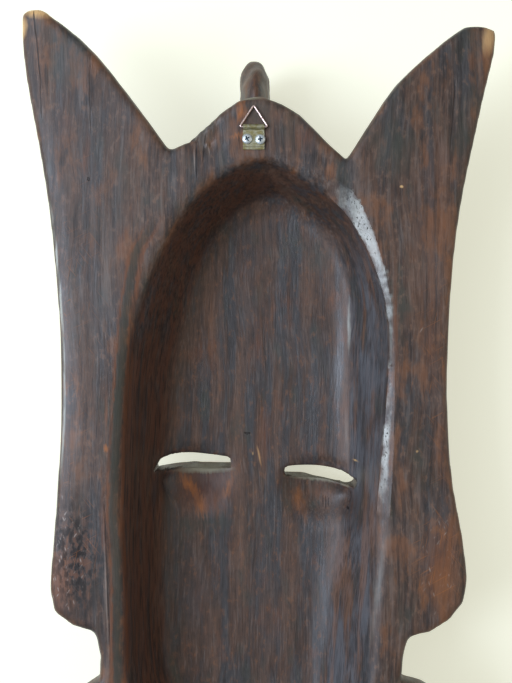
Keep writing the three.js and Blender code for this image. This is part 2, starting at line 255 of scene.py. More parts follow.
# lines along the fold beside the hollow's left rim: how far across it, half-width, share, paint
foldLines = [(0.27, 0.15, 0.8, "rust"), (0.60, 0.30, 0.75, "moss"), (1.00, 0.18, 0.8, "rust")]

# Marks on the back, of age and of painted light and shade: kind, centre, half-width, half-length,
# strength, and lean in degrees where there is one; in mm and seen from the back.
marks = [
    # a painted bluish sheen over the left horn and flange, on the side that faces the light
    ("slate", -104, 140, 30, 120, 0.45),
    ("ash", -92, 108, 6, 50, 0.4),
    ("soot", -103, 70, 4, 70, 0.35),
    ("soot", -111, -72, 20, 72, 0.85),
    ("slate", -106, -60, 7, 45, 0.4),
    ("worn", -33, 70, 5, 40, 0.4, -5),
    ("slate", -24, 70, 4, 40, 0.6),
    # brown and rust patches on the right flange, partly a painted warm light from that side
    ("worn", 104, 105, 18, 50, 0.35),
    ("rust", 108, 160, 14, 50, 0.35, -8),
    ("bare", -135, 268.5, 13, 6, 1, -10),
    ("bare", -144.5, 258, 4, 9, 0.9),
    ("worn", -128, 262, 8, 5, 0.6, -20),
    ("bare", 141, 251, 5, 13, 0.7, -8),
    ("worn", 139, 236, 3.5, 26, 0.6, -8),
    ("amber", -10.5, 206, 4.5, 8, 0.85),
    ("amber", -13, 191.5, 6, 1.8, 0.6),
    ("dust", -4, 214.5, 8, 1.4, 0.6),
    ("amber", -92.6, 0.6, 1.7, 3.2, 1),
    ("rust", -92.5, 22, 1.6, 18, 0.8),
    ("rust", 112, -72, 14, 38, 0.85),
    ("worn", 115, -84, 12, 22, 0.7),
    ("worn", 111, -50, 9, 3, 0.8, -18),
    ("rust", 112, 0, 7, 40, 0.45, 6),
    # a rust patch on the right flange, partly a painted warm light from that side
    ("rust", 105, 75, 8, 50, 0.5),
    ("rust", 84, 80, 2.2, 45, 0.8),
    ("worn", -70, 177, 4, 9, 0.6, 25),
    ("rust", -105, 180, 3, 16, 0.75, -6),
    ("rust", -82, 130, 3, 9, 0.7, -20),
    ("rust", -118, 205, 6, 30, 0.4, -5),
    # painted shade in the scoops under the slits: the left scoop, a spot on the right scoop's rim that
    # faces the light, and the left scoop's dark green rim, partly painted shadow
    ("recess", -36, -33, 27, 16, 1),
    ("soot", -33, -30, 18, 9, 0.5),
    ("soot", 54, -36, 7, 7, 0.5, -20),
    ("moss", -36, -54, 27, 5, 0.5),
    ("moss", -60, -40, 4, 14, 0.5),
    ("amber", -46, -29, 4.5, 12, 0.7, 36),
    ("amber", -38, -43, 5, 9, 0.6, 18),
    ("amber", -20, -32, 3, 11, 0.5, -20),
    ("rust", -31, -43, 12, 9, 0.6),
    ("amber", 27, -39, 5, 11, 0.5),
    ("rust", 42, -35, 12, 7, 0.6),
    ("worn", 31, -50, 2.5, 11, 0.6),
    ("rust", 3, 5, 7, 26, 0.5),
    ("rust", 1, 80, 7, 40, 0.35),
    ("rust", -121, -82, 7, 30, 0.8),
    ("rust", -94.5, -45, 2.6, 26, 0.9, 2),
    ("grimy", -110, -67, 24, 46, 0.85),
    ("scabby", -112, -70, 22, 42, 0.6),
    ("scabby", 110, -70, 22, 40, 0.3),
    ("scratched", 112, 60, 26, 120, 0.4),
    ("scratched", 110, -66, 24, 46, 0.6),
    ("scratched", -112, 90, 28, 150, 0.4),
    ("scratched", -110, -50, 24, 60, 0.4),
    ("ash", -31, 195.5, 20, 2.2, 0.7, 38),
    ("rust", 28, 190, 15, 12, 0.6, 20),
    ("soot", 33, 181, 4, 4, 0.6),
    ("amber", 44, 170, 5, 6, 0.35),
    ("worn", 14, 203, 12, 6, 0.4, -30),
    ("worn", -30, 188, 17, 7, 0.5, 35),
    # a painted highlight along the rounded right rim, below the bevel
    ("rubbed", 73.5, -84, 2.4, 42, 0.35, -7.5),
    ("nicked", -119, -66, 16, 45, 0.8),
    ("nicked", 112, -66, 15, 42, 0.6),
    ("bare", 87.5, 160.5, 1.3, 1.1, 0.9, 20),
    ("worn", 0.7, -9.5, 1.3, 10, 1, 12),
    ("bare", 0.7, -9.5, 0.8, 8, 0.4, 12),
    ("bare", -3.4, -8.2, 0.8, 1.4, 0.4),
    ("crack", -7, 5.5, 2.0, 0.8, 0.8),
    ("bare", 63.7, -11.6, 1.8, 0.9, 0.7, -20),
    ("dust", 57.5, -28, 4.5, 2.4, 0.7, -10),
    ("bare", 97, -1, 1.0, 1.0, 0.5),
    ("scuffed", 99.5, 73, 0.5, 2.6, 0.6, -35),
    # painted highlights along the fold where the hollow's floor turns up into its right wall
    ("gloss", 59.8, 76, 1.3, 22, 0.7),
    ("scuffed", 58.5, 5, 1.6, 22, 0.3, 2),
    # dust on the ledges under the slits, made pale so that it is also a painted light coming through
    # them
    ("dust", -36, -19, 22, 3.4, 0.9, 1),
    ("dust", 40, -25, 24, 2.4, 0.8, -5),
    # more of the left scoop's dark green rim, partly painted shadow
    ("moss", -24, -52, 7, 12, 0.4),
    ("crack", -136.5, 261, 0.5, 9, 1, 4),
    ("crack", -134.2, 240, 0.45, 18, 0.9, 5),
    ("crack", -132.7, 214, 0.4, 12, 0.7, 2),
    ("crack", -102, 219, 0.9, 26, 0.4),
    ("crack", -103.5, 165, 0.9, 1.2, 0.8),
    ("crack", -37.5, 177, 0.5, 12, 1),
    ("scuffed", -38.9, 177, 0.5, 11, 0.8),
    ("scuffed", -30, 183, 0.5, 6, 0.5, 10),
    ("crack", -33, 184, 0.4, 10, 0.8, -6),
    ("crack", 59, -43.2, 0.9, 0.9, 1),
    ("crack", 43.5, -40, 0.35, 4, 0.7),
    ("crack", 45.3, -41, 0.35, 4.5, 0.7),
    ("crack", 47, -40.5, 0.35, 3, 0.6),
    ("crack", 119, 205, 0.5, 24, 0.5, -4),
    ("scuffed", -92.8, -88, 0.5, 50, 0.5, 2.3),
    ("crack", -91.8, -80, 0.45, 52, 0.6, 2.3),
]


def makeWood():
    material, add = newMaterial("stained_waxed_hardwood")
    inMm = placeInMm(add)
    facing = add("SeparateXYZ", [add("TexCoord", [], "Normal")], "Z")

    # the grain wanders a few millimetres sideways along the block
    drift = add("VectorMath", [inMm, wood["swayLength"]], operation="DIVIDE")
    drift = add("TexNoise", {"Vector": drift, "Scale": 1, "Detail": 2}, "Color")
    drift = add("VectorMath", [drift, (0.5, 0.5, 0.5)], operation="SUBTRACT")
    drift = add("VectorMath", [drift, wood["sway"]], operation="MULTIPLY")
    grain = add("VectorMath", [inMm, drift])

    # layers of streaks, each stretched along the grain
    layer = {}
    for name, start, detail in (("band", grain, 4), ("patch", grain, 4), ("seam", grain, 4),
                                ("fibre", grain, 4), ("pore", grain, 2), ("cloud", inMm, 5),
                                ("mottle", grain, 4), ("pit", inMm, 2)):
        scaled = add("VectorMath", [start, wood[name + "Size"]], operation="DIVIDE")
        layer[name] = add("TexNoise", {"Vector": scaled, "Scale": 1, "Detail": detail,
                                       "Roughness": 0.6})

    # how much of a region is left where a layer of streaks breaks it up
    def streaked(region, name, *span):
        streaks = add("MapRange", [layer[name], *span])
        return streaks if region is None else add("Math", [region, streaks], operation="MULTIPLY")

    # the colour so far with a paint laid over it, in a region that streaks may break up
    def paintedOver(colour, paint, share, *streaks):
        if streaks:
            share = streaked(share, *streaks)
        return add("Mix", {0: share, 6: colour, 7: fromHex(wood[paint])}, 2, data_type="RGBA")

    # ground colour: dark stain over brown heartwood
    mixed = add("Math", [layer["fibre"], 0.35, layer["band"]], operation="MULTIPLY_ADD")
    colour = paintedOver(fromHex(wood["stain"]), "heart", add("MapRange", [mixed, 0.54, 0.82]))

    # worn edges, painted shade and painted sheen that the mesh carries
    wearAndLight = {name: add("Attribute", [], "Fac", attribute_name=name) for name in (
        "recess", "cool", "crease", "ridge", "polishAndSheen", "strip", "stripEnd", "edgeIn")}
    wearAndLight["flatBack"] = add("MapRange", [add("SeparateXYZ", [inMm], "Z"), 88, 92])
    for region, *streaks, paint in washes:
        colour = paintedOver(colour, paint, wearAndLight.get(region), *streaks)

    # the fold beside the hollow's left rim: a rusty line, a dark green-black band, a rusty line
    across = add("Math", [layer["mottle"], 0.35, wearAndLight["strip"]], operation="MULTIPLY_ADD")
    stripEnd = add("Math", [wearAndLight["stripEnd"], add("MapRange", [wearAndLight["strip"], 0, 0.12])],
                   operation="MULTIPLY")
    for centre, halfWidth, strength, paint in foldLines:
        share = add("MapRange", [gapTo(add, across, centre), halfWidth, halfWidth * 0.4, 0, strength])
        share = add("Math", [share, stripEnd], operation="MULTIPLY")
        share = streaked(share, "fibre", 0.38, 0.56, 0.7, 1)
        if paint == "rust":
            share = streaked(share, "seam", 0.36, 0.52, 0.3, 1)
        colour = paintedOver(colour, paint, share)

    # the bevel that hands and walls have rubbed: greyer, with a painted sheen and painted highlights,
    # and dark pits left in it
    polishAndSheen = add("Math", [layer["mottle"], 0.5, wearAndLight["polishAndSheen"]], operation="MULTIPLY_ADD")
    polishAndSheen = add("MapRange", [polishAndSheen, 0.45, 1.1])
    pits = add("Math", [layer["cloud"], 0.5, layer["pit"]], operation="MULTIPLY_ADD")
    pits = add("MapRange", [pits, 0.88, 0.96])
    pits = add("Math", [pits, polishAndSheen], operation="MULTIPLY")
    for *streaks, paint in bevelWashes:
        colour = paintedOver(colour, paint, polishAndSheen, *streaks)
    colour = paintedOver(colour, "soot", pits)

    # a painted highlight: a narrow pale line along the left outline, where the edge would catch the
    # light
    edgeHighlight = add("MapRange", [gapTo(add, wearAndLight["edgeIn"], wood["edgeHighlightIn"]), 1.1, 0.4])
    along = gapTo(add, add("SeparateXYZ", [inMm], "Y"), wood["edgeHighlightAlong"])
    for factor in (add("MapRange", [along, 88, 55]), add("MapRange", [facing, 0.3, 0.6])):
        edgeHighlight = add("Math", [edgeHighlight, factor], operation="MULTIPLY")
    colour = paintedOver(colour, "gloss", edgeHighlight, "seam", 0.40, 0.54, 0.25, 1)

    # marks: ellipses seen from the back, their borders broken up along the grain
    ragged = add("VectorMath", [grain, wood["raggedSize"]], operation="DIVIDE")
    ragged = add("TexNoise", {"Vector": ragged, "Scale": 1, "Detail": 3}, "Color")
    ragged = add("VectorMath", [ragged, (0.5, 0.5, 0.5)], operation="SUBTRACT")
    broken = add("MapRange", [layer["seam"], 0.35, 0.6, 0.25, 1])
    aroundZ = {"rotation_type": "Z_AXIS"}
    nicks = 0.0
    for lean in wood["nickLeans"]:
        place = add("VectorRotate", {"Vector": inMm, "Angle": math.radians(lean)}, **aroundZ)
        place = add("VectorMath", [place, wood["nickSize"]], operation="DIVIDE")
        fleck = add("TexVoronoi", {"Vector": place, "Scale": 1}, "Distance")
        nicks = add("Math", [add("MapRange", [fleck, 0.22, 0.10]), nicks], operation="MAXIMUM")
    nicks = streaked(nicks, "mottle", 0.42, 0.6, 0, 1)
    scratches = 0.0
    for lean in wood["scratchLeans"]:
        place = add("VectorRotate", {"Vector": inMm, "Angle": math.radians(lean)}, **aroundZ)
        place = add("VectorMath", [place, wood["scratchSize"]], operation="DIVIDE")
        line = add("TexNoise", {"Vector": place, "Scale": 1, "Detail": 1})
        scratches = add("Math", [add("MapRange", [line, 0.68, 0.74]), scratches], operation="MAXIMUM")
    flecks = add("MapRange", [layer["mottle"], 0.50, 0.58])
    grime = add("MapRange", [layer["mottle"], 0.52, 0.44])
    outside = add("MapRange", [facing, -0.6, -0.2])
    breakers = {"worn": broken, "rust": broken, "ash": broken, "slate": broken, "nicked": nicks,
                "scratched": scratches, "scabby": flecks, "grimy": grime}
    paints = {"crack": "soot", "nicked": "scuffed", "scratched": "amber", "scabby": "rust",
              "grimy": "soot"}
    cores = {"crack": 0.6, "nicked": 0.6, "bare": 0.35, "dust": 0.3}  # share that has no border
    cracked = 0.0
    dulled = 0.0
    for kind, x, y, halfWidth, halfLength, strength, *lean in marks:
        rag = min(halfWidth * 1.4, 3 if kind in ("bare", "dust") else 5)
        tall = 1 if kind in ("crack", "bare", "dust", "scuffed") else 3
        local = add("VectorMath", [ragged, (rag, rag * tall, 0), inMm], operation="MULTIPLY_ADD")
        local = add("VectorMath", [local, (x, y, 0)], operation="SUBTRACT")
        local = add("VectorRotate", {"Vector": local, "Angle": math.radians(-sum(lean))}, **aroundZ)
        local = add("VectorMath", [local, (1 / halfWidth, 1 / halfLength, 0)], operation="MULTIPLY")
        reach = add("VectorMath", [local], operation="LENGTH")
        inside = add("MapRange", [reach, 1.0, cores.get(kind, 0.0), 0, strength])
        inside = add("Math", [inside, outside], operation="MULTIPLY")
        if kind in breakers:
            inside = add("Math", [inside, breakers[kind]], operation="MULTIPLY")
        if kind == "crack":
            cracked = add("Math", [inside, cracked], operation="MAXIMUM")
        if kind in ("recess", "moss", "grimy"):
            dulled = add("Math", [inside, dulled], operation="MAXIMUM")
        colour = paintedOver(colour, paints.get(kind, kind), inside)

    # satin wax, broken by the grain; the cool bands shine more than the brown ones
    rough = wood["roughness"]
    for value, *span in ((layer["band"], 0.35, 0.62, -0.10, 0.12), (wearAndLight["recess"], 0, 1, 0, 0.08),
                         (layer["fibre"], 0.35, 0.65, -0.05, 0.10)):
        rough = add("Math", [rough, add("MapRange", [value, *span])])
    rough = add("Mix", [polishAndSheen, rough, wood["polished"]])
    for value, more in ((pits, 0.3), (dulled, 0.45)):
        rough = add("Math", [value, more, rough], operation="MULTIPLY_ADD")

    calm = add("MapRange", [polishAndSheen, 0, 1, 0.5, 0.1])
    relief = add("Math", [layer["fibre"], calm], operation="MULTIPLY")
    for hollowed, depth in ((layer["pore"], 0.15), (pits, 0.6), (cracked, 1.6)):
        relief = add("Math", [relief, add("Math", [hollowed, depth], operation="MULTIPLY")],
                     operation="SUBTRACT")
    bump = add("Bump", {"Height": relief, "Strength": 0.7, "Distance": 0.6 * mm})
    shader = add("BsdfPrincipled", {"Base Color": colour, "Roughness": rough, "Normal": bump, "IOR": 1.5,
                                    "Coat Weight": 0.15, "Coat Roughness": 0.3})
    add("OutputMaterial", {"Surface": shader})
    return material


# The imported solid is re-skinned with small even faces. Its worn bevel is pulled crisp again, its
# facets are smoothed, the carver's marks are pressed into it, and the slits are cut through last.
carving = {
    "voxel": 2.15,          # mm, size of the new faces
    "edgeReach": 1.4,       # how far a point may be pulled onto a crisp edge
    "rounds": 26,           # smoothing passes on the back and the hollow
    "ornamentRounds": 7,    # and on the small forms of the face
    "softRounds": 16,       # that melt the hollow's folds into each other
    "pockets": [(-43, -33, 30, 21), (42, -40, 30, 21)],  # under the slits: middle and half-sizes
    "pocketRounds": 60,
    "rimRounds": 8,         # that round the left rim
    "waver": 0.45,          # height of the slow waves of hand carving
    "waverSize": (42, 95, 42),
    "flute": 0.22,          # of the long shallow gouge strokes
    "fluteSize": (12, 150, 12),
    "ripple": 0.12,         # of the ripples that the tool left
    "rippleSize": (10, 30, 10),
    "chisel": 3.2,          # and of the chisel's facets on the crown,
    "chiselSize": (4.5, 7, 4.5),
    "knob": 2.2,            # and on the comb's end
    "knobSize": (9, 12, 12),
    "grooveDepth": 1.1,     # cut ornament of the front
    "middle": (2, -10),     # of the hollow
    "rimHalf": 87,          # nothing of the rim lies further out than this,
    "rimTop": 176,          # or further up
    "bevelFrom": 40,        # the crisp bevel begins here across the mask,
    "bevelTo": -45,         # and ends here along it
    "bevelAngle": 12,       # degrees: the least bend along its edges
    "bevelLow": 84,         # and the height that all of it lies above
    "bevelReach": 1.8,      # how far a point may be pulled onto its faces
    "stripDrop": 1.3,       # the left rim's fold, below the flat back
    "edgeFall": (13, 1.4),  # the left outline is rubbed down: how far in, and how deep
    "creaseAngle": 42,      # degrees: sharper edges than this stay crisp
}
# The two slits, in mm: upper and lower edge from left to right, as few stops as their curves need
slits = {
    "pair": [
        {"x": -36, "inside": (-42, -12.5),
         "upper": [(-67.6, -16.5), (-63.5, -10.8), (-55, -8.3), (-44, -7.7), (-25.5, -9.6),
                   (-18.4, -11)],
         "lower": [(-67, -18.2), (-56.7, -16), (-43, -14.6), (-18, -14.9)]},
        {"x": 41, "inside": (41, -20),
         "upper": [(17.4, -20), (20, -16.8), (32, -16), (45, -17), (56, -19.8), (64.5, -24.8)],
         "lower": [(18.3, -21.6), (34, -21), (48, -21.9), (63.2, -26.4)]},
    ],
    "slope": 0.22,     # of the lower wall, which widens a slit towards the hollow
    "slopeFrom": 20,   # height where that begins
    "lidHalf": 29,     # half the length that slopes
    "heights": (6, 20, 34, 48, 62, 74),  # of the cutter's rings, from in front to behind
    "steps": 32,       # points along each edge
    "middle": 34,      # a height inside the wood
    "steepness": 0.3,  # largest rise in the normal of a slit's wall
    "reach": 55,       # longest way from one wall of a slit to another
    "softRounds": 3,   # smoothing of the edges on the hollow's side
}
# where the left flange folds down towards the rim, from the top
stripFold = [(-68, 140), (-80, 120), (-86.5, 80), (-89.5, 40), (-92, 0), (-93.5, -40), (-91, -75),
             (-90, -240)]


def mergedSolid(source):
    work = bmesh.new()
    work.from_mesh(source.data)
    bmesh.ops.scale(work, vec=(1 / mm, 1 / mm, 1 / mm), verts=work.verts)
    bmesh.ops.remove_doubles(work, verts=work.verts, dist=0.001)
    work.normal_update()
    work.faces.ensure_lookup_table()
    return work


# Crisp edges of the worn bevel at the hollow's right rim, and a test for the bevel's own faces
def wornBevel(work):
    middle = Vector(carving["middle"])
    lines = []
    for edge in work.edges:
        if len(edge.link_faces) != 2 or edge.calc_face_angle(0) < math.radians(carving["bevelAngle"]):
            continue
        ends = [v.co.copy() for v in edge.verts]
        centre = (ends[0] + ends[1]) / 2
        flat, steep = sorted((f.normal for f in edge.link_faces), key=lambda n: -n.z)
        inward = (middle - centre.xy).dot(steep.xy) > 0
        across = carving["bevelFrom"] < centre.x < carving["rimHalf"]
        if centre.z > carving["bevelLow"] and across and centre.y > carving["bevelTo"] and inward:
            if flat.z > 0.8:
                lines.append(ends)
    surface = BVHTree.FromBMesh(work)
    bevel = []
    for face in work.faces:
        x, y, z = face.calc_center_median()
        across = carving["bevelFrom"] < x < carving["rimHalf"] and z > carving["bevelLow"]
        along = carving["bevelTo"] < y < carving["rimTop"]
        bevel.append(across and along and 0.55 < face.normal.z < 0.985 and face.normal.x < -0.1)
    return lines, surface, bevel


# Takes the slits' walls out of the solid and closes the openings they leave, so that the new skin
# runs smoothly across; the slits are cut again at the end.
def closeSlits(work):
    surface = BVHTree.FromBMesh(work)
    walls = {}
    for slit in slits["pair"]:
        _, _, first, _ = surface.ray_cast(Vector((*slit["inside"], slits["middle"])), Vector((0, 1, 0)))
        waiting = [work.faces[first]]
        while waiting:
            face = waiting.pop()
            start = face.calc_center_median() + face.normal * 0.01
            across = surface.ray_cast(start, face.normal)[3] or math.inf
            steep = abs(face.normal.z) < slits["steepness"]
            if face.index in walls or not steep or across > slits["reach"]:
                continue
            walls[face.index] = face
            waiting += [other for edge in face.edges for other in edge.link_faces if other != face]
    bmesh.ops.delete(work, geom=list(walls.values()), context="FACES")
    bmesh.ops.holes_fill(work, edges=[e for e in work.edges if e.is_boundary], sides=0)
    lids = [f for f in work.faces if len(f.verts) > 4]
    bmesh.ops.triangulate(work, faces=lids, ngon_method="EAR_CLIP")
    print("slit walls taken out:", len(walls))


# smooth curve through a few stops, as points
def curveThrough(stops, count):
    stops = np.array(stops, dtype=float)
    padded = np.vstack([stops[:1], stops, stops[-1:]])
    line = []
    for place in np.linspace(0, len(stops) - 1, count):
        i = min(int(place), len(stops) - 2)
        t = place - i
        a, b, c, d = padded[i:i + 4]
        bent = (2 * a - 5 * b + 4 * c - d) * t ** 2 + (3 * b - a - 3 * c + d) * t ** 3
        line.append((2 * b + (c - a) * t + bent) / 2)
    return line


# Shape of a slit, past both faces of the wood. Its lower wall slopes, deepest in its middle.
def slitCutter(slit):
    upper = curveThrough(slit["upper"], slits["steps"])
    lower = curveThrough(slit["lower"], slits["steps"])[::-1]
    rings = []
    for z in slits["heights"]:
        rise = slits["slope"] * max(z - slits["slopeFrom"], 0)
        rings.append([(x, y, z) for x, y in upper] + [
            (x, y - rise * max(0, 1 - ((x - slit["x"]) / slits["lidHalf"]) ** 2), z) for x, y in lower])
    return skinRings("slit", rings)


# small even faces over a solid that is in mm
def fineSkin(work):
    bmesh.ops.scale(work, vec=(mm, mm, mm), verts=work.verts)
    blank = addObject("blank", meshFrom(work, "blank"))
    skin = blank.modifiers.new("fine skin", "REMESH")
    skin.mode = "VOXEL"
    skin.voxel_size = carving["voxel"] * mm
    mesh = bpy.data.meshes.new_from_object(blank.evaluated_get(bpy.context.evaluated_depsgraph_get()))
    bpy.data.objects.remove(blank)
    mesh.name = "carvedMask"
    return mesh


def readAll(items, name, width=1, kind=float):
    flat = np.empty(width * len(items), dtype=kind)
    items.foreach_get(name, flat)
    return flat.reshape(-1, width) if width > 1 else flat


def vertexArray(mesh):
    return readAll(mesh.vertices, "co", 3) / mm


# moves a mesh's points, in mm, and hands back their new normals
def movePoints(mesh, points):
    mesh.vertices.foreach_set("co", (points * mm).ravel())
    mesh.update()
    return readAll(mesh.vertex_normals, "vector", 3)


def edgeArray(mesh):
    return readAll(mesh.edges, "vertices", 2, np.int64)


# what smoothing needs of a mesh: its edges, and how many of them meet at each point
def netOf(mesh):
    edges = edgeArray(mesh)
    return edges, np.bincount(edges.ravel(), minlength=len(mesh.vertices)).astype(float)


# mean of each point's neighbours
def neighbourMean(values, net):
    edges, valence = net
    count = len(valence)
    columns = []
    for column in values.T:
        total = np.bincount(edges[:, 0], column[edges[:, 1]], count)
        total += np.bincount(edges[:, 1], column[edges[:, 0]], count)
        columns.append(total / valence)
    return np.stack(columns, axis=1)


# Pulls the points nearest to the given lines onto them. Returns which points those are.
def pullToLines(points, lines, reach):
    stops = []
    for a, b in lines:
        steps = max(1, int((b - a).length / 0.25))
        stops += [a.lerp(b, i / steps) for i in range(steps + 1)]
    tree = KDTree(len(stops))
    for i, stop in enumerate(stops):
        tree.insert(stop, i)
    tree.balance()
    low = np.min(stops, axis=0) - reach
    high = np.max(stops, axis=0) + reach
    pulled = np.zeros(len(points), dtype=bool)
    for i in np.flatnonzero(np.all((points > low) & (points < high), axis=1)):
        stop, _, distance = tree.find(points[i])
        if distance < reach:
            points[i] = stop
            pulled[i] = True
    return pulled


# how far each point stands out from its neighbours
def bendOf(points, normals, net):
    return np.einsum("ij,ij->i", points - neighbourMean(points, net), normals)


def smooth(points, net, weight, rounds, steps=(0.55, -0.57)):
    for _ in range(rounds):
        for step in steps:  # out and back, so that nothing shrinks
            points += (step * weight)[:, None] * (neighbourMean(points, net) - points)


def blurred(values, net, rounds):
    values = values[:, None]
    for _ in range(rounds):
        values = (values + neighbourMean(values, net)) / 2
    return values[:, 0]


def noiseOver(points, size, seed=0.0):
    scaled = points / np.array(size) + seed
    return np.array([noise.noise(Vector(p)) for p in scaled])


# The fold beside the hollow's left rim: how far across it each point lies, 0 to 1, and how much
# of it is left towards its ends
def stripAcross(points, normals):
    x, y, z = points.T
    foldX, foldY = np.array(stripFold[::-1]).T
    across = np.clip((x - np.interp(y, foldY, foldX)) / 11, 0, 1.6)
    return across, (x < -20) * ramp(y, 150, 118) * ramp(z, 83, 90) * ramp(normals[:, 2], 0.1, 0.5)


# How far in a point lies from the left outline of the horn and flange
def fromLeftEdge(points):
    x, y, z = points.T
    rows = np.arange(-115, 262, 6)
    edge = [x[(np.abs(y - row) < 5) & (z > 90)].min() for row in rows]
    return x - np.interp(y, rows, edge)


# Grooves of the front, as a depth from 0 to 1 at each point
def frontOrnament(points):
    x, y, z = points.T
    depth = np.zeros(len(points))

    def cut(where, pitch, across, width):
        wave = np.abs((across / pitch) % 1 - 0.5) * 2  # 0 in the middle of a groove
        groove = 1 - ramp(wave * pitch / 2, width * 0.25, width)
        np.maximum(depth, groove * where, out=depth)

    below = ramp(z, 84, 72)
    # comb: notches across it
    comb = ramp(np.abs(x + 1), 12, 10) * ramp(y, 150, 158) * ramp(z, 30, 22)
    cut(comb, 11, y, 2.6)
    # beard: locks that fan out from the chin
    fan = np.degrees(np.arctan2(x, -(y + 130)))
    beard = ramp(np.hypot(x, y + 130), 78, 86) * ramp(y, -196, -204) * ramp(z, 62, 52)
    cut(beard, 8.5, fan + 4.25, 2.4)
    # forehead band: slanted nicks
    bandLine = 132 - 36 * (np.abs(x) / 75) ** 2
    band = ramp(np.abs(y - bandLine), 5.6, 4.6) * ramp(np.abs(x), 9, 12) * ramp(z, 60, 50)
    cut(band, 8, np.abs(x) + (y - bandLine) * 0.7, 2.4)
    # horns: two grooves that follow each horn's length
    lean = np.where(x < 0, (y - 170) * 0.19, (y - 170) * 0.26)
    horn = ramp(y, 168, 182) * ramp(y, 248, 238) * below
    cut(horn * ramp(np.abs(np.abs(x) - 104 - lean * 0.8), 15, 12), 13, np.abs(x) - lean, 2.6)
    return depth


# 1 at the slits' edges on the hollow's side
def slitLips(points):
    x, y, z = points.T
    lips = np.zeros(len(points))
    for slit in slits["pair"]:
        outline = np.array(curveThrough(slit["upper"], 24) + curveThrough(slit["lower"], 24))
        gap = np.min(np.hypot(x[:, None] - outline[:, 0], y[:, None] - outline[:, 1] + 2), axis=1)
        lips = np.maximum(lips, ramp(gap, 9, 6) * ramp(z, 40, 44))
    return lips


def softenLips(mesh):
    points = vertexArray(mesh)
    smooth(points, netOf(mesh), slitLips(points), slits["softRounds"], (0.5,))
    movePoints(mesh, points)


# fills the hair-wide gaps that the cuts leave, and takes out specks that float loose in the wood
def cleaned(mesh):
    work = bmesh.new()
    work.from_mesh(mesh)
    bmesh.ops.holes_fill(work, edges=[e for e in work.edges if e.is_boundary], sides=3)
    start = max(work.verts, key=lambda v: v.co.y)
    reached = {start}
    waiting = [start]
    while waiting:
        vert = waiting.pop()
        following = {e.other_vert(vert) for e in vert.link_edges} - reached
        reached |= following
        waiting += following
    specks = [v for v in work.verts if v not in reached]
    bmesh.ops.delete(work, geom=specks, context="VERTS")
    print("points in loose specks:", len(specks))
    return meshFrom(work, "carvedMask")


